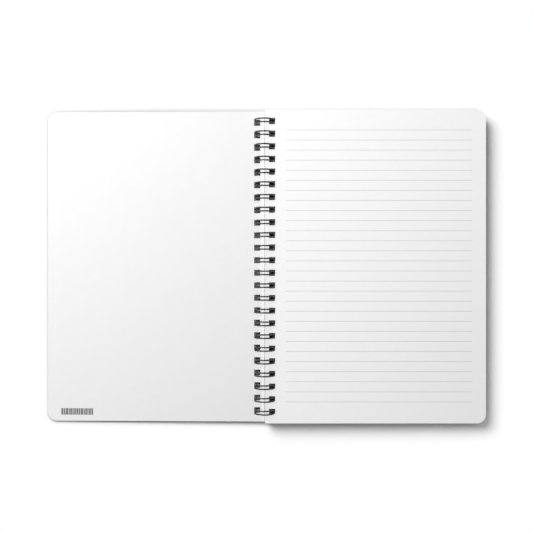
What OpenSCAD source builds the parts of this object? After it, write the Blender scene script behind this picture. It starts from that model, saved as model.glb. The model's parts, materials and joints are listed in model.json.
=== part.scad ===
// Twin-loop notebook, lying open on a table at its first page.
// X runs from the front cover on the left to the sheets on the right, Y up the page, Z up.
// The origin lies on the table, under the axis of the wire rings, half way up the page.

/* [Sheets] */
// Width of a sheet, from its spine edge to its fore-edge
sheet_w = 147.8; // [120:0.1:210]
// Height of the sheets and of both covers
leaf_h = 210; // [120:0.5:300]
// Radius of the two outer corners of every sheet and cover
corner_r = 6; // [2:0.5:12]
// Thickness of one sheet
sheet_t = 0.1; // [0.08:0.005:0.115]
// Distance from the middle of the spine to the sheets' spine edge
sheet_edge = 0.5; // [0.3:0.05:1.2]

/* [Covers] */
// Width of each cover, from its spine edge to its fore-edge
cover_w = 147.6; // [120:0.1:210]
// Thickness of the cover card
card_t = 0.6; // [0.25:0.05:0.8]
// Distance from the middle of the spine to the front cover's spine edge
front_edge = 0.05; // [0:0.05:1]
// How far the back cover's spine edge reaches past the middle of the spine
back_edge = 0.6; // [0:0.1:1.2]
// Distance from the spine at which the back cover comes to lie flat on the table
flat_from = 48; // [30:1:70]

/* [Wire] */
// Outer diameter of the rings
ring_d = 14.3; // [13.5:0.1:17]
// Diameter of the wire
wire_d = 1; // [0.8:0.05:1.2]
// Distance from one double loop to the next
pitch = 8.467; // [7.5:0.1:12]
// Distance between the two wires of a double loop, centre to centre
pair = 2.3; // [1.8:0.1:3]
// Bend radius where a loop runs into the bar to the next loop
base_r = 1.2; // [0.8:0.05:1.4]
// Angle left open between the two ends of a ring, where the wire was closed
mouth = 24; // [24:1:30]
// Least distance from the first loop to the top of the page
end_room = 7; // [5:0.5:12]

/* [Clearances] */
// Room between the pair of wires and the sides of its hole
hole_play = 0.4; // [0.3:0.05:0.6]
// Room between the rings and the outer side of the sheets' holes
ring_play = 0.15; // [0.1:0.05:0.3]
// Room between the rings and the outer side of the front cover's holes
front_play = 0.9; // [0.4:0.05:1.2]
// Room between the rings and the outer side of the back cover's holes
back_play = 0.55; // [0.4:0.05:0.8]
// Room inside the rings under the back cover
seat_play = 0.55; // [0.4:0.05:0.8]
// Gap between the sheets and the back cover that they lie on
stack_gap = 0.15; // [0.1:0.05:0.3]
// Gap between the first page and the front cover when it is closed
shut_gap = 1.1; // [0.3:0.05:1.5]
// Room inside the rings over the front cover when it is closed
head_play = 1.9; // [1.2:0.05:3]

/* [Hidden] */
$fn = 48;

// Steps of the curve that the back cover and the sheets bend along
bend_steps = 12;
// Distance from the middle of the spine to where that curve starts
bend_from = ring_d / 2 + 1;
// Room past a solid that a cut takes, so that no thin skin is left
over = 1;

ring_r = ring_d / 2;
wire_r = wire_d / 2;
coil_r = ring_r - wire_r;
hole = pair + wire_d + 2 * hole_play;

loops = floor((leaf_h - 2 * end_room) / pitch) + 1;
loop_y = [for (i = [0 : loops - 1]) (i - (loops - 1) / 2) * pitch];

// Heights at the spine: the back cover hangs inside the rings, the sheets lie on it, and the
// closed front cover lies over them
back_under = wire_d + seat_play;
stack_under = back_under + card_t + stack_gap;
shut_under = ring_d - wire_d - head_play - card_t;

// As many sheets as the rings hold: 74
sheets = round((shut_under - shut_gap - stack_under) / sheet_t);
stack_top = stack_under + sheets * sheet_t;

// The front cover lies as far under the rings' axis as it lies over it when it is closed
front_drop = stack_top + shut_gap - ring_r;
front_reach = front_edge + cover_w;
front_low = front_drop + card_t;
front_tilt = asin(ring_r / norm([front_reach, front_low])) - atan2(front_low, front_reach);

// How far the rings reach from the middle of the spine, at a height over or under their axis
function reach(height) = sqrt(ring_r * ring_r - height * height);

sheet_hole = ring_r + ring_play;
front_hole = reach(front_drop) + front_play;
back_hole = reach(ring_r - back_under - card_t) + back_play + back_edge;

// Height over the table of a leaf that lies flat far out and is held up by the rings at the spine
function lift(x) =
    let (u = min(1, max(0, (x - bend_from) / (flat_from - bend_from))))
    back_under * (1 + cos(180 * u)) / 2;

function bend_line(start, end, height) = concat(
    [[start, height + lift(start)]],
    [for (i = [0 : bend_steps])
        let (x = bend_from + (flat_from - bend_from) * i / bend_steps)
        [x, height + lift(x)]],
    [[end, height]]
);

function reversed(points) = [for (i = [len(points) - 1 : -1 : 0]) points[i]];

// Plan of a leaf that lies to the right of the spine: two rounded corners and a row of square holes
module leaf_plan(edge, width, hole_end) {
    difference() {
        union() {
            translate([edge, -leaf_h / 2])
                square([width - corner_r, leaf_h]);
            translate([edge, corner_r - leaf_h / 2])
                square([width, leaf_h - 2 * corner_r]);
            for (side = [-1, 1])
                translate([edge + width - corner_r, side * (leaf_h / 2 - corner_r)])
                    circle(r = corner_r);
        }
        for (y = loop_y)
            translate([hole_end - hole, y - hole / 2])
                square([hole, hole]);
    }
}

// A side view in X and Z, drawn out along the whole height of the page
module along_page(points) {
    rotate([90, 0, 0])
        linear_extrude(height = leaf_h + 2 * over, center = true)
            polygon(points);
}

module front_cover() {
    color("whitesmoke")
        translate([0, 0, ring_r])
            rotate([0, -front_tilt, 0])
                mirror([1, 0, 0])
                    translate([0, 0, -front_low])
                        linear_extrude(height = card_t)
                            leaf_plan(front_edge, cover_w, front_hole);
}

module back_cover() {
    far = cover_w - back_edge;
    color("gainsboro")
        intersection() {
            along_page(concat(
                bend_line(-back_edge - over, far + over, 0),
                reversed(bend_line(-back_edge - over, far + over, card_t))
            ));
            translate([0, 0, -over])
                linear_extrude(height = stack_under + 2 * over)
                    leaf_plan(-back_edge, cover_w, back_hole);
        }
}

module page_block() {
    far = sheet_edge + sheet_w;
    under = card_t + stack_gap;
    color("white")
        intersection() {
            along_page(concat(
                bend_line(sheet_edge - over, far + over, under),
                [[far + over, stack_top], [sheet_edge - over, stack_top]]
            ));
            linear_extrude(height = stack_top + over)
                leaf_plan(sheet_edge, sheet_w, sheet_hole);
        }
}

// Part of a round bend of the wire, lying in X and Y around the origin
module bend(radius, from, sweep) {
    rotate_extrude(angle = sweep, start = from)
        translate([radius, 0])
            circle(d = wire_d);
}

// One leg of a double loop: nearly a whole ring, standing across the spine
module leg() {
    rotate([90, 0, 0])
        bend(coil_r, -90, 360 - mouth);
}

// The round tip that joins the two legs, just short of the bars
module tip() {
    rotate([0, mouth, 0])
        translate([0, 0, -coil_r])
            bend(pair / 2, -90, 180);
}

// Half of the bar to the next loop: out of the leg, round, and along the spine
module half_bar(side) {
    bar = pitch / 2 - pair / 2 - base_r;
    lap = wire_d / 2;
    translate([0, side * (pair / 2 + base_r), -coil_r]) {
        bend(base_r, side > 0 ? 180 : 90, 90);
        translate([-base_r, 0, 0])
            rotate([side > 0 ? -90 : 90, 0, 0])
                cylinder(d = wire_d, h = bar + lap);
    }
}

module double_loop(index) {
    for (side = [-1, 1])
        translate([0, side * pair / 2, 0])
            leg();
    tip();
    if (index > 0) half_bar(-1);
    if (index < loops - 1) half_bar(1);
}

module wire_binding() {
    color("#1c1c1e")
        translate([0, 0, ring_r])
            for (i = [0 : loops - 1])
                translate([0, loop_y[i], 0])
                    double_loop(i);
}

front_cover();
page_block();
back_cover();
wire_binding();
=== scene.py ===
# %% [markdown]
# # An open twin-loop notebook
# This lesson dresses a wire-bound A5 notebook that lies open at its first ruled page.
# The solids, the joints and the real sizes come ready made in a frame of four parts: the front
# cover, the block of sheets, the back cover and the wire. What is left to do is what the eye
# judges: single sheets with ruled lines, card, glossy coated wire, and a bright studio.
# Everything is in metres. X runs across the page, Y up the page, and Z up from the table.

# %% Load the frame
import json
import math
import random

import bpy
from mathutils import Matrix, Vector


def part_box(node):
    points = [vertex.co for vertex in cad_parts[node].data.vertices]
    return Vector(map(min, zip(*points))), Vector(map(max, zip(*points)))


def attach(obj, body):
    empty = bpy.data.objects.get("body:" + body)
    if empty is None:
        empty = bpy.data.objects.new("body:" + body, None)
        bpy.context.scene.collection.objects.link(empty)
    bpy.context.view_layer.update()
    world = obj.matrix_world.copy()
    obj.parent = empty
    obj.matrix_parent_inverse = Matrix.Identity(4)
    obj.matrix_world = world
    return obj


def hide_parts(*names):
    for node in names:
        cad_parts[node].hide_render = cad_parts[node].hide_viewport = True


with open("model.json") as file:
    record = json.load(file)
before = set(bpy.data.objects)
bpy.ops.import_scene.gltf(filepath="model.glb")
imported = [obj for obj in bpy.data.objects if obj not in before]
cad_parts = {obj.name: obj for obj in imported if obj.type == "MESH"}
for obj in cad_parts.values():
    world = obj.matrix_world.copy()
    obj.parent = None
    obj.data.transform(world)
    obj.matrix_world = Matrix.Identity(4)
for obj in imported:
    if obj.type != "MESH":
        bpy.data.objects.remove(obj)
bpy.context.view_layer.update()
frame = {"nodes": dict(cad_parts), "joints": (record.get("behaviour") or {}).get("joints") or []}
MM = 0.001
print("parts:", ", ".join(sorted(frame["nodes"])))

# %% [markdown]
# ## The sizes that everything else follows
# A size that the frame knows is read from it, so that a new model brings its own. The rings' axis
# is the hinge of the front cover, and the rings lie on the table, so its height is their radius.
# The page block's box gives the sheets' edges and the level of the first page. What a box can't
# tell, such as the row of holes, is written once, where it is first needed.

# %% Sizes from the frame
cover_hinge = next(j for j in frame["joints"] if j["name"] == "front_cover_turn")
axis_height = cover_hinge["pos_m"][2]
ring_radius = axis_height

block_low, block_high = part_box("page_block")
spine_x = block_low.x
fore_x = block_high.x
half_height = block_high.y
page_level = block_high.z
print("rings' axis at", round(axis_height / MM, 2), "mm")
print("first page at", round(page_level / MM, 2), "mm")

# %% [markdown]
# ## How the camera looks
# The picture is taken from straight above, close enough that the rings, which stand higher, look
# a little larger than the page under them. That difference gives the height of the camera: the
# loops in the picture are further apart than their holes. A normal 50 mm lens keeps it natural.
# The camera stands a little to the right of the spine, so that the open book is in the middle.

# %% Camera
camera_height = 505 * MM
camera_x = 1.35 * MM
focal_length = 50
film_width = 36
image_width = 533


def put_in_scene(thing):
    bpy.context.scene.collection.objects.link(thing)
    return thing


camera_data = bpy.data.cameras.new("camera")
camera_data.lens = focal_length
camera_data.sensor_width = film_width
camera = put_in_scene(bpy.data.objects.new("camera", camera_data))
camera.location = (camera_x, 0, camera_height)
bpy.context.scene.camera = camera
view_width = (camera_height - page_level) * film_width / focal_length
print("a pixel covers", round(view_width / image_width / MM, 3), "mm of the first page")

# %% [markdown]
# ## Adding a node
# A material is a small net of nodes. Adding one by hand takes a line for the node, one for each
# setting and one for each input, so a helper does it in one call: an input gets either a fixed
# value or what another node gives. Sums on such values are Math nodes, which have a helper too.

# %% Helpers for nodes
def add_node(tree, kind, inputs=(), **settings):
    """Adds a node. Each input is a fixed value or the output of another node."""
    node = tree.nodes.new(kind)
    for name, setting in settings.items():
        setattr(node, name, setting)
    for name, value in dict(inputs).items():
        if isinstance(value, bpy.types.NodeSocket):
            tree.links.new(value, node.inputs[name])
        else:
            node.inputs[name].default_value = value
    return node


def math_step(tree, operation, *values):
    """A sum of two or three values."""
    step = add_node(tree, "ShaderNodeMath", dict(enumerate(values)), operation=operation)
    return step.outputs[0]


def dot(tree, one, other):
    """The dot product of two directions or places."""
    step = add_node(tree, "ShaderNodeVectorMath", {0: one, 1: other}, operation="DOT_PRODUCT")
    return step.outputs["Value"]


print("helpers for nodes:", ", ".join(helper.__name__ for helper in (add_node, math_step, dot)))

# %% [markdown]
# ## Short hands for materials
# All finishes here are made of the same few steps: a shader, a noise that varies it, and a bump.
# A small helper for each step keeps a finish down to the numbers that matter. Noise coordinates
# are the object's own, in metres, so a scale of 4000 means a grain of a quarter of a millimetre.
# A noise rarely leaves the middle of its range, so that is what gets spread over other values.

# %% Helpers for materials
noise_low = 0.3
noise_high = 0.7


def grey(level):
    return (level, level, level)


def new_finish(name, color, roughness, specular=0.5):
    material = bpy.data.materials.new(name)
    material.use_nodes = True
    shader = material.node_tree.nodes["Principled BSDF"]
    shader.inputs["Base Color"].default_value = (*color, 1)
    shader.inputs["Roughness"].default_value = roughness
    shader.inputs["Specular IOR Level"].default_value = specular
    return material, material.node_tree, shader


def noise(tree, scale, detail, stretch=(1, 1, 1)):
    place = add_node(tree, "ShaderNodeTexCoord").outputs["Object"]
    mapping = add_node(tree, "ShaderNodeMapping", {"Vector": place, "Scale": stretch})
    texture = add_node(tree, "ShaderNodeTexNoise", {
        "Vector": mapping.outputs["Vector"], "Scale": scale, "Detail": detail,
    })
    return texture.outputs["Fac"]


def spread(tree, value, low, high):
    """Turns a noise into a range of values, such as roughness."""
    step = add_node(tree, "ShaderNodeMapRange", {
        "Value": value, "From Min": noise_low, "From Max": noise_high,
        "To Min": low, "To Max": high,
    })
    return step.outputs["Result"]


def blend(tree, factor, *colors):
    """Mixes two colours, each a fixed one or the output of another node."""
    one, other = [(*color, 1) if isinstance(color, tuple) else color for color in colors]
    mix_inputs = {"Factor": factor, "A": one, "B": other}
    return add_node(tree, "ShaderNodeMix", mix_inputs, data_type="RGBA").outputs["Result"]


def tint(tree, value, dark, light):
    """A colour that varies between two close tones."""
    return blend(tree, spread(tree, value, 0, 1), dark, light)


def bump(tree, shader, height, depth, strength):
    step = add_node(tree, "ShaderNodeBump", {
        "Height": height, "Distance": depth, "Strength": strength,
    })
    tree.links.new(step.outputs["Normal"], shader.inputs["Normal"])


print("a noise is spread from", noise_low, "to", noise_high)

# %% [markdown]
# ## Paper
# Writing paper is matte and nearly white. Close up it is felted: short fibres make a grain of a
# quarter of a millimetre that is only some microns deep, and the pulp is a little cloudy. A fine
# noise makes the bump and a coarse one the cloud, both so faint that the page still reads white.
# The cut edges of the stack get painted shade: they are greyer, in streaks along the sheets, for
# the light that gets lost between them. The object's own normal tells such an edge from a page,
# and a noise that is squeezed across the sheets draws the streaks of painted shade.

# %% Paper
paper_level = 0.87
paper_tones = ((0.862, 0.862, 0.86), (0.875, 0.875, 0.875))
paper_cloud_scale = 260
paper_grain_scale = 3800
paper_grain_depth = 0.006 * MM
# painted shade: the cut edges of the stack are greyer than the pages
shaded_edge_tones = ((0.76, 0.76, 0.75), (0.9, 0.9, 0.895))
shade_streak_scale = 200
along_sheets = (0.05, 0.05, 12)


def cut_edges(tree):
    """1 on the upright sides of the stack, where the painted shade goes, 0 on the pages."""
    normal = add_node(tree, "ShaderNodeTexCoord").outputs["Normal"]
    upward = add_node(tree, "ShaderNodeSeparateXYZ", {0: normal}).outputs["Z"]
    return math_step(tree, "SUBTRACT", 1, math_step(tree, "MULTIPLY", upward, upward))


def make_paper():
    material, tree, shader = new_finish("ruled_paper", grey(paper_level), 0.85, specular=0.3)
    cloud = tint(tree, noise(tree, paper_cloud_scale, detail=5), *paper_tones)
    shade_streaks = noise(tree, shade_streak_scale, detail=4, stretch=along_sheets)
    # painted shade: the cut edges take greyer, streaked tones in place of the page's cloud
    color = blend(tree, cut_edges(tree), cloud, tint(tree, shade_streaks, *shaded_edge_tones))
    tree.links.new(color, shader.inputs["Base Color"])
    grain = noise(tree, paper_grain_scale, detail=4, stretch=(1, 0.6, 1))
    bump(tree, shader, grain, paper_grain_depth, strength=0.6)
    return material


paper = make_paper()
print("finish:", paper.name, "with a grain of", round(1 / paper_grain_scale / MM, 2), "mm")

# %% [markdown]
# ## Card
# The covers are heavier: a smooth uncoated card, pressed flat, and a shade greyer than the sheets.
# Its fibres make a longer and flatter grain than the paper's, of half a millimetre. The same noise
# drives the bump and the roughness, because a fibre that stands up a little is duller than one
# that is pressed flat. The sheen that is left is so weak that the card still reads matte.

# %% Card
card_level = 0.769
card_tones = ((0.761, 0.761, 0.759), (0.774, 0.774, 0.774))
card_cloud_scale = 180
card_grain_scale = 1900
card_grain_depth = 0.004 * MM
card_roughness = (0.64, 0.76)


def make_card():
    material, tree, shader = new_finish("cover_card", grey(card_level), 0.7, specular=0.15)
    cloud = tint(tree, noise(tree, card_cloud_scale, detail=4), *card_tones)
    tree.links.new(cloud, shader.inputs["Base Color"])
    fibres = noise(tree, card_grain_scale, detail=3)
    tree.links.new(spread(tree, fibres, *card_roughness), shader.inputs["Roughness"])
    bump(tree, shader, fibres, card_grain_depth, strength=0.5)
    return material


card = make_card()
print("finish:", card.name, "with a grain of", round(1 / card_grain_scale / MM, 2), "mm")

# %% [markdown]
# ## Ink
# The ruling is a pale grey ink that sinks into the paper and stays matte, and the bars on the
# cover are black ink. Both break up slightly where the fibres don't take the colour.

# %% Inks
ink_grain_scale = 5200


def make_ink(name, dark, light, roughness):
    material, tree, shader = new_finish(name, light, roughness)
    color = tint(tree, noise(tree, ink_grain_scale, detail=2), dark, light)
    tree.links.new(color, shader.inputs["Base Color"])
    return material


ruling_ink = make_ink("ruling_ink", grey(0.48), grey(0.56), roughness=0.85)
bar_ink = make_ink("bar_ink", grey(0.02), grey(0.05), roughness=0.6)
print("finishes:", ruling_ink.name, "and", bar_ink.name)

# %% [markdown]
# ## Coated wire
# The binding is steel wire in a black nylon coat. The coat is glossy and slightly wavy, and that
# waviness draws the highlights out along each ring.

# %% Wire finish
coat_level = 0.012
coat_wave_scale = 1400
coat_wave_depth = 0.01 * MM
coat_roughness = (0.24, 0.36)


def make_wire_coat():
    material, tree, shader = new_finish("coated_wire", grey(coat_level), 0.3)
    waves = noise(tree, coat_wave_scale, detail=2)
    tree.links.new(spread(tree, waves, *coat_roughness), shader.inputs["Roughness"])
    bump(tree, shader, waves, coat_wave_depth, strength=0.4)
    return material


wire_coat = make_wire_coat()
print("finish:", wire_coat.name, "with waves of", round(1 / coat_wave_scale / MM, 2), "mm")

# %% [markdown]
# ## Dressing the parts that stay
# The covers and the wire have their true shape in the frame already, so each only gets a finish.
# Assigning to the object's material slots leaves the mesh alone.

# %% Finishes on the frame's parts
def dress(part_name, material):
    slots = frame["nodes"][part_name].data.materials
    slots.clear()
    slots.append(material)
    print(part_name, "wears", material.name)


dress("front_cover", card)
dress("back_cover", card)
dress("wire_binding", wire_coat)

# %% [markdown]
# ## How the block bends
# The rings lie on the table, so they lift the spine edge of the block a little. From there its
# underside sinks in a soft curve and lies flat further out, while the first page stays level.
# The back cover carries the block and bends with it, so its mesh tells both the thickness of the
# card, where it lies flat, and how far it rises at the spine.

# %% Underside of the block
corner_radius = 6 * MM
bend_from = ring_radius + 1 * MM
bend_to = 48 * MM
bend_steps = 8
sheet_gap = 0.15 * MM

back_mesh = frame["nodes"]["back_cover"].data
flat_from = bend_to + corner_radius
card_thickness = max(v.co.z for v in back_mesh.vertices if v.co.x > flat_from)
spine_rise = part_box("back_cover")[1].z - card_thickness
bends = [bend_from + (bend_to - bend_from) * k / bend_steps for k in range(bend_steps + 1)]


def block_underside(x):
    u = min(1, max(0, (x - bend_from) / (bend_to - bend_from)))
    return card_thickness + sheet_gap + spine_rise * (1 + math.cos(math.pi * u)) / 2


print("the block rises by", round(spine_rise / MM, 2), "mm at the spine")

# %% [markdown]
# ## Where each sheet lies
# The sheets are pressed together at the spine and stand slightly apart at the fore-edge, with a
# bit more air here and less there. The first draws of the dice say how the air is shared. Then the
# height of any sheet at any distance from the spine follows. Even at the spine a sheet's paper is
# a little thinner than its share of the height, so that no two faces coincide. The holes hang on
# round rings, so a sheet above or below the rings' axis can sit nearer to the spine.

# %% Heights in the block
sheet_count = 74
paper_share = 0.93
least_slack = 0.4
most_shift = 0.1 * MM

sheet_pitch = (page_level - block_underside(spine_x)) / sheet_count
sheet_thickness = paper_share * sheet_pitch
dice = random.Random(24)
slack_weights = [least_slack + dice.random() for k in range(sheet_count - 1)]
slack_shares = [sum(slack_weights[:k]) / sum(slack_weights) for k in range(sheet_count)]


def sheet_level(number, x):
    """Height of a sheet's underside. Sheet 0 is the last one, on the back cover."""
    slack = page_level - block_underside(x) - sheet_count * sheet_pitch
    return block_underside(x) + number * sheet_pitch + slack * slack_shares[number]


def ring_shift(number):
    height = sheet_level(number, spine_x) - axis_height
    room = ring_radius - math.sqrt(ring_radius**2 - min(abs(height), ring_radius) ** 2)
    return -min(most_shift, room)


print(sheet_count, "sheets,", round(sheet_pitch / MM, 3), "mm each at the spine")

# %% [markdown]
# ## A loose stack
# No stack is perfectly square. Groups of sheets slip together, so the drift of one sheet is that
# of the sheet under it plus a small step, and a jog of its own. Up to a tenth of a millimetre of
# it gives the edges of the block their fine lines. The first and the last sheet stay in place.

# %% Drift of the sheets
jog = 0.03 * MM
drift_step = 0.05 * MM
drift_limit = 0.1 * MM


def wander(place):
    return min(drift_limit, max(-drift_limit, place + dice.uniform(-drift_step, drift_step)))


def stack_drift(steps):
    """How far each sheet is out of line, across and up the page."""
    x = y = 0
    for _ in range(steps):
        x = wander(x)
        y = wander(y)
        yield x + dice.uniform(-jog, jog), y + dice.uniform(-jog, jog)


drift = list(stack_drift(sheet_count))
drift[0] = drift[-1] = (0, 0)
print("largest drift:", round(max(max(map(abs, place)) for place in drift) / MM, 3), "mm")

# %% [markdown]
# ## Holes and ruled lines
# A twin-loop wire of this size has three loops to the inch, and each loop has a square hole. The
# ruling starts clear of the holes and stops short of the fore-edge, in 28 even lines. Both are
# rows of equal things up the page, so both are lists of where the two sides of each one lie.

# %% Rows on the page
loops = 24
loop_pitch = 8.467 * MM
hole_size = 4.25 * MM
hole_play = 0.2 * MM
hole_end = ring_radius + hole_play

rule_count = 28
rule_pitch = 6.74 * MM
rule_width = 0.315 * MM
rule_middle = 0.36 * MM
ruled_from = spine_x + 13.9 * MM
ruled_to = fore_x - 9.2 * MM


def both_sides(count, pitch, width, middle=0):
    """The two sides of each thing in an even row."""
    places = [middle + (i - (count - 1) / 2) * pitch for i in range(count)]
    return [place + side * width / 2 for place in places for side in (-1, 1)]


hole_sides = both_sides(loops, loop_pitch, hole_size)
rule_sides = both_sides(rule_count, rule_pitch, rule_width, rule_middle)
print("holes end", round(hole_end / MM, 2), "mm from the middle of the spine")
print("ruled lines are", round((ruled_to - ruled_from) / MM, 1), "mm long")

# %% [markdown]
# ## Faces of a flat leaf
# A sheet is flat, so its shape is a plan: straight at the spine, two rounded corners at the
# fore-edge, and a row of square holes. A boolean cut would leave untidy faces, so the plan is laid
# out in upright strips instead. A strip beside the holes has one corner for each hole's corner,
# and the strip through the holes is a ladder of small faces between them. Ruled lines are faces of
# their own in the strips that they cross, which keeps them sharp at any distance.

# %% Corners and faces of a plan
BARE, INKED = 0, 1


class Plan:
    """Corners and faces of a leaf seen from above. A face is a list of corners and its ink."""

    def __init__(self, trim):
        self.half_height = half_height - trim
        self.corners = []
        self.known = {}
        self.faces = []

    def corner(self, x, y):
        key = (round(x, 8), round(y, 8))
        if key not in self.known:
            self.known[key] = len(self.corners)
            self.corners.append((x, y))
        return self.known[key]

    def column(self, x, places=()):
        return [self.corner(x, y) for y in (-self.half_height, *places, self.half_height)]

    def strip(self, left, right):
        self.faces.append(([left[0], *right, *reversed(left[1:])], BARE))

    def ladder(self, left, right, every=1, inked=False):
        for k in range(0, len(left) - 1, every):
            face = [left[k], right[k], right[k + 1], left[k + 1]]
            self.faces.append((face, INKED if inked and k % 2 else BARE))

    def rims(self):
        """The edges that only one face uses: the outline and the holes."""
        pairs = [(a, b) for face, ink in self.faces for a, b in zip(face, face[1:] + face[:1])]
        used = set(pairs)
        return [(a, b) for a, b in pairs if (b, a) not in used]


print("a plan knows", ", ".join(name for name in vars(Plan) if not name.startswith("_")))

# %% [markdown]
# ## The plan of one sheet
# From the spine outwards come the edge, the holes, one column of corners at each bend, and the
# rounded end. A ruled sheet gets its lines in the columns between the ruling's two ends. A sheet
# in the middle of the stack has none, and is trimmed by as much as it can drift, so that none
# sticks out of the block.

# %% Plan of a sheet
corner_steps = 6


def hole_strips(plan):
    """The spine edge and the row of holes. Returns the column where they end."""
    edge = plan.column(spine_x)
    before = plan.column(hole_end - hole_size, hole_sides)
    after = plan.column(hole_end, hole_sides)
    plan.strip(edge, before)
    plan.ladder(before, after, every=2)
    return after


def rounded_end(plan, right):
    """The part with the two round corners. Returns the column where it begins."""
    x = right - corner_radius
    y = corner_radius - plan.half_height
    arc = [math.pi / 2 * k / corner_steps for k in range(corner_steps + 1)]
    low = [(x + corner_radius * math.sin(a), y - corner_radius * math.cos(a)) for a in arc]
    high = [(px, -py) for px, py in reversed(low)]
    left = plan.column(x)
    right_side = [plan.corner(*p) for p in low[1:] + high[:-1]]
    plan.faces.append(([left[0], *right_side, left[1]], BARE))
    return left


def columns_between(ruled):
    """Where the columns stand, and whether each has the ruled lines."""
    if not ruled:
        return [(x, False) for x in bends]
    plain = [(x, False) for x in bends if x < ruled_from]
    lined = [ruled_from, *[x for x in bends if x > ruled_from], ruled_to]
    return plain + [(x, True) for x in lined]


def sheet_plan(ruled, trim=0):
    plan = Plan(trim)
    last, last_lined = hole_strips(plan), False
    for x, lined in columns_between(ruled):
        column = plan.column(x, rule_sides if lined else ())
        if lined and last_lined:
            plan.ladder(last, column, inked=True)
        else:
            plan.strip(last, column)
        last, last_lined = column, lined
    plan.strip(last, rounded_end(plan, fore_x - trim))
    return plan


ruled_plan = sheet_plan(ruled=True)
plain_plan = sheet_plan(ruled=False, trim=drift_limit + jog)
for kind, plan in (("ruled", ruled_plan), ("plain", plain_plan)):
    print("plan of a", kind, "sheet:", len(plan.faces), "faces")

# %% [markdown]
# ## From a plan to a thin solid
# Each plan becomes a closed thin solid: its faces once on top, once underneath turned over, and a
# wall along every rim. Real paper has a thickness, and a single face would look wrong at the edges
# of the stack. The lists of points and faces go on growing, so one mesh can hold many sheets.

# %% Thin solids
def leaf_solid(points, faces, plan, top, under, inked_side, offset):
    """Adds one leaf to the lists. The inked side is "top", "under" or "none"."""
    start = len(points)
    count = len(plan.corners)
    for level in (top, under):
        points += [(x + offset[0], y + offset[1], level(x)) for x, y in plan.corners]
    for face, ink in plan.faces:
        turned_over = [start + count + k for k in reversed(face)]
        faces.append(([start + k for k in face], ink if inked_side == "top" else BARE))
        faces.append((turned_over, ink if inked_side == "under" else BARE))
    for a, b in plan.rims():
        wall = [start + a, start + count + a, start + count + b, start + b]
        faces.append((wall, BARE))


def mesh_object(name, points, faces, materials):
    mesh = bpy.data.meshes.new(name)
    mesh.from_pydata(points, [], [face for face, ink in faces])
    for material in materials:
        mesh.materials.append(material)
    for polygon, (face, ink) in zip(mesh.polygons, faces):
        polygon.material_index = ink
    mesh.validate()
    print("faces of", name + ":", len(mesh.polygons))
    return put_in_scene(bpy.data.objects.new(name, mesh))


print("a sheet is", round(sheet_thickness / MM, 3), "mm thick")

# %% [markdown]
# ## Building the sheets
# The first and the last sheet are objects of their own, because only they show their ruling. All
# the others share one mesh, which stands for the frame's solid block. Every sheet rides on the
# body of the pages, so the whole stack turns over the rings together.

# %% Sheets
def build_sheets(name, numbers, plan, inked_side):
    points, faces = [], []
    for number in numbers:
        x, y = drift[number]
        leaf_solid(
            points, faces, plan,
            lambda x: sheet_level(number, x) + sheet_thickness,
            lambda x: sheet_level(number, x),
            inked_side, (ring_shift(number) + x, y),
        )
    sheets = mesh_object(name, points, faces, (paper, ruling_ink))
    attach(sheets, "pages")
    return sheets


first_sheet = build_sheets("first_sheet", [sheet_count - 1], ruled_plan, "top")
inner_sheets = build_sheets("inner_sheets", range(1, sheet_count - 1), plain_plan, "none")
last_sheet = build_sheets("last_sheet", [0], ruled_plan, "under")
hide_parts("page_block")

# %% [markdown]
# ## The bars on the front cover
# The inside of the front cover has a small printed mark at its lower outer corner. It is plain
# here: a row of upright bars in a regular rhythm that stands for no number. Each bar is a film of
# ink, some microns thick, that reaches a little into the card, so that no gap shows under it. The
# open cover leans on the rings, so its face slopes: the slope is read from the largest face that
# looks up, and each corner of a bar follows it.

# %% Bars
bars_left = -138.4 * MM
bars_right = -116.6 * MM
bars_low = -100.9 * MM
bars_high = -96.5 * MM
bar_module = 0.34 * MM
least_gap = 0.6
ink_film = 0.012 * MM

cover_mesh = frame["nodes"]["front_cover"].data
cover_face = max((f for f in cover_mesh.polygons if f.normal.z > 0.9), key=lambda f: f.area)


def bar_runs():
    """Left and right sides of the bars, in a rhythm of widths and gaps that repeats."""
    x, k = bars_left, 0
    while x + 2 * bar_module < bars_right:
        width = (1 + (k * k) % 3) * bar_module
        yield x, min(x + width, bars_right)
        x += width + (least_gap + k % 2 / 2) * bar_module
        k += 1


def cover_level(x):
    """Height of the open cover's upper face."""
    normal, point = cover_face.normal, cover_face.center
    return point.z - (x - point.x) * normal.x / normal.z


def bar_faces(points, faces, left, right):
    start = len(points)
    for film in (-ink_film / 2, ink_film):
        for y in (bars_low, bars_high):
            points += [(x, y, cover_level(x) + film) for x in (left, right)]
    sides = ([0, 2, 3, 1], [4, 5, 7, 6], [0, 1, 5, 4], [2, 6, 7, 3], [0, 4, 6, 2], [1, 3, 7, 5])
    faces += [([start + k for k in side], BARE) for side in sides]


def build_bars():
    points, faces = [], []
    for left, right in bar_runs():
        bar_faces(points, faces, left, right)
    bars = mesh_object("cover_bars", points, faces, (bar_ink,))
    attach(bars, "front")


build_bars()

# %% [markdown]
# ## Painted shade at the foot of things
# A thin leaf hardly casts a shadow towards the lamp, yet its edge shows as a fine grey line where
# it meets the table. That line is painted shade in the floor's colour: an ambient occlusion node
# finds what is within a few millimetres of the floor, and deepens the colour there on all sides. A
# second one reaches two millimetres and leans to the lamp: it finds the cover's edge where it
# hangs low between the lamp and the floor, and paints its foot darker. A power below 1 keeps the
# line dark up to its end.

# %% Contact shades
contact_shades = (
    {"reach": 5 * MM, "depth": 0.58, "leaning": (0, 0, 1)},
    {"reach": 2.2 * MM, "depth": 0.65, "leaning": (-0.62, 0.62, 0.48)},
)
shade_power = 0.5


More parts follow.
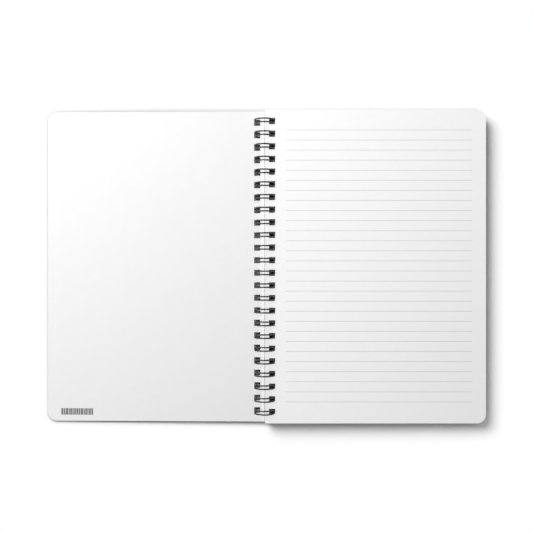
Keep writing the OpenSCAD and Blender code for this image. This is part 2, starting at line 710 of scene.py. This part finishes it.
def contact_shade(tree, reach, depth, leaning):
    """A painted shade factor for the floor's colour: 1 on the open floor, less where something
    stands or hangs close to it.
    """
    lean = add_node(tree, "ShaderNodeCombineXYZ", zip("XYZ", leaning)).outputs["Vector"]
    near_inputs = {"Distance": reach, "Normal": lean}
    near = add_node(tree, "ShaderNodeAmbientOcclusion", near_inputs, samples=8)
    blocked = math_step(tree, "SUBTRACT", 1, near.outputs["AO"])
    darkness = math_step(tree, "POWER", blocked, shade_power)
    return math_step(tree, "MULTIPLY_ADD", darkness, -depth, 1)


print("contact shades reach", [round(shade["reach"] / MM, 1) for shade in contact_shades], "mm")

# %% [markdown]
# ## The table
# The notebook lies on pure white, and white has to come from the floor's own colour, because more
# light would wash out the page. The floor answers the camera with a tone that is just white where
# the lamp reaches it, so that every shadow shows, and that rises away from the lamp as the light
# falls off. Further out it glows plain white. For all other rays it is a pale matte table.
# It lies a hair lower than the notebook, so that the two never share a plane.

# %% Floor
floor_side = 6.0
floor_drop = 0.02 * MM
away_from_lamp = (math.sqrt(0.5), -math.sqrt(0.5), 0)
middle_tone = 0.953
rise_from_lamp = 1.322
rise_outward = 1.28
white_from = 0.2
white_to = 0.26
table_tone = 0.45


def seen_directly(tree):
    """1 for what the camera, a reflection or glass sees, 0 for light that bounces."""
    path = add_node(tree, "ShaderNodeLightPath")
    seen = path.outputs["Is Camera Ray"]
    for ray in ("Is Glossy Ray", "Is Transmission Ray"):
        seen = math_step(tree, "MAXIMUM", seen, path.outputs[ray])
    return seen


def floor_tone(tree, place, squared_distance):
    from_lamp = dot(tree, place, away_from_lamp)
    tone = math_step(tree, "MULTIPLY_ADD", from_lamp, rise_from_lamp, middle_tone)
    tone = math_step(tree, "MULTIPLY_ADD", squared_distance, rise_outward, tone)
    # painted shade: the contact shades darken the floor's colour at the foot of things
    for shade in contact_shades:
        tone = math_step(tree, "MULTIPLY", tone, contact_shade(tree, **shade))
    return tone


def make_floor_finish():
    material = bpy.data.materials.new("floor")
    material.use_nodes = True
    tree = material.node_tree
    tree.nodes.clear()
    seen = seen_directly(tree)
    place = add_node(tree, "ShaderNodeTexCoord").outputs["Object"]
    squared_distance = dot(tree, place, place)
    tone = floor_tone(tree, place, squared_distance)
    color = blend(tree, seen, grey(table_tone), tone)
    matte = add_node(tree, "ShaderNodeBsdfDiffuse", {"Color": color})

    far = add_node(tree, "ShaderNodeMapRange", {
        "Value": squared_distance, "From Min": white_from**2, "From Max": white_to**2,
    })
    glow = add_node(tree, "ShaderNodeEmission")
    mix = add_node(tree, "ShaderNodeMixShader", {
        "Fac": math_step(tree, "MULTIPLY", far.outputs["Result"], seen),
        1: matte.outputs["BSDF"],
        2: glow.outputs["Emission"],
    })
    add_node(tree, "ShaderNodeOutputMaterial", {"Surface": mix.outputs["Shader"]})
    return material


def make_floor():
    half = floor_side / 2
    corners = [(-half, -half, 0), (half, -half, 0), (half, half, 0), (-half, half, 0)]
    floor = mesh_object("floor", corners, [([0, 1, 2, 3], 0)], (make_floor_finish(),))
    floor.location.z = -floor_drop


make_floor()
print("floor:", floor_side, "m wide")

# %% [markdown]
# ## Light
# One large soft lamp up on the left and behind the book does the work: it throws the short shadow
# to the right and towards the reader, and fades across the open spread. How long that shadow is,
# and how softly it ends, give the lamp's direction and width. The light of a white room fills the
# rest: it is brighter on the lamp's side, as by a large window, so the shadow stays deep at the
# book's foot. The lamp looks past the wire when it seeks what blocks it, as the picture shows
# hardly any shadow between the rings. The room's own soft shade under them stays.

# %% Lamps and room
def area_lamp(name, place, aim, size, power):
    data = bpy.data.lights.new(name, "AREA")
    data.shape = "DISK"
    data.size = size
    data.energy = power
    lamp = put_in_scene(bpy.data.objects.new(name, data))
    lamp.location = place
    lamp.rotation_euler = (Vector(aim) - Vector(place)).to_track_quat("-Z", "Y").to_euler()
    return lamp


def block_only_with(lamp, things):
    blockers = bpy.data.collections.new(lamp.name + "_blockers")
    for thing in things:
        blockers.objects.link(thing)
    lamp.light_linking.blocker_collection = blockers


def white_room(strength, unevenness):
    world = bpy.data.worlds.new("room")
    world.use_nodes = True
    tree = world.node_tree
    background = tree.nodes["Background"]
    background.inputs["Color"].default_value = (1, 1, 1, 1)
    direction = add_node(tree, "ShaderNodeTexCoord").outputs["Generated"]
    slope = dot(tree, direction, tuple(-strength * unevenness * side for side in away_from_lamp))
    level = add_node(tree, "ShaderNodeMapRange", {
        "Value": seen_directly(tree),
        "To Min": math_step(tree, "ADD", slope, strength),
        "To Max": 1,
    })
    tree.links.new(level.outputs["Result"], background.inputs["Strength"])
    bpy.context.scene.world = world


key_lamp = area_lamp("key_lamp", (-0.42, 0.45, 0.65), aim=(0, 0, 0), size=0.58, power=8.95)
covers = (frame["nodes"]["front_cover"], frame["nodes"]["back_cover"])
block_only_with(key_lamp, (*covers, first_sheet, inner_sheets, last_sheet))
white_room(strength=0.33, unevenness=0.8)
print("lamp:", round(key_lamp.data.energy, 2), "W,", round(key_lamp.data.size, 2), "m across")

# %% [markdown]
# ## View settings
# Standard view transform keeps colours as they are written.

# %% View settings
bpy.context.scene.view_settings.view_transform = "Standard"
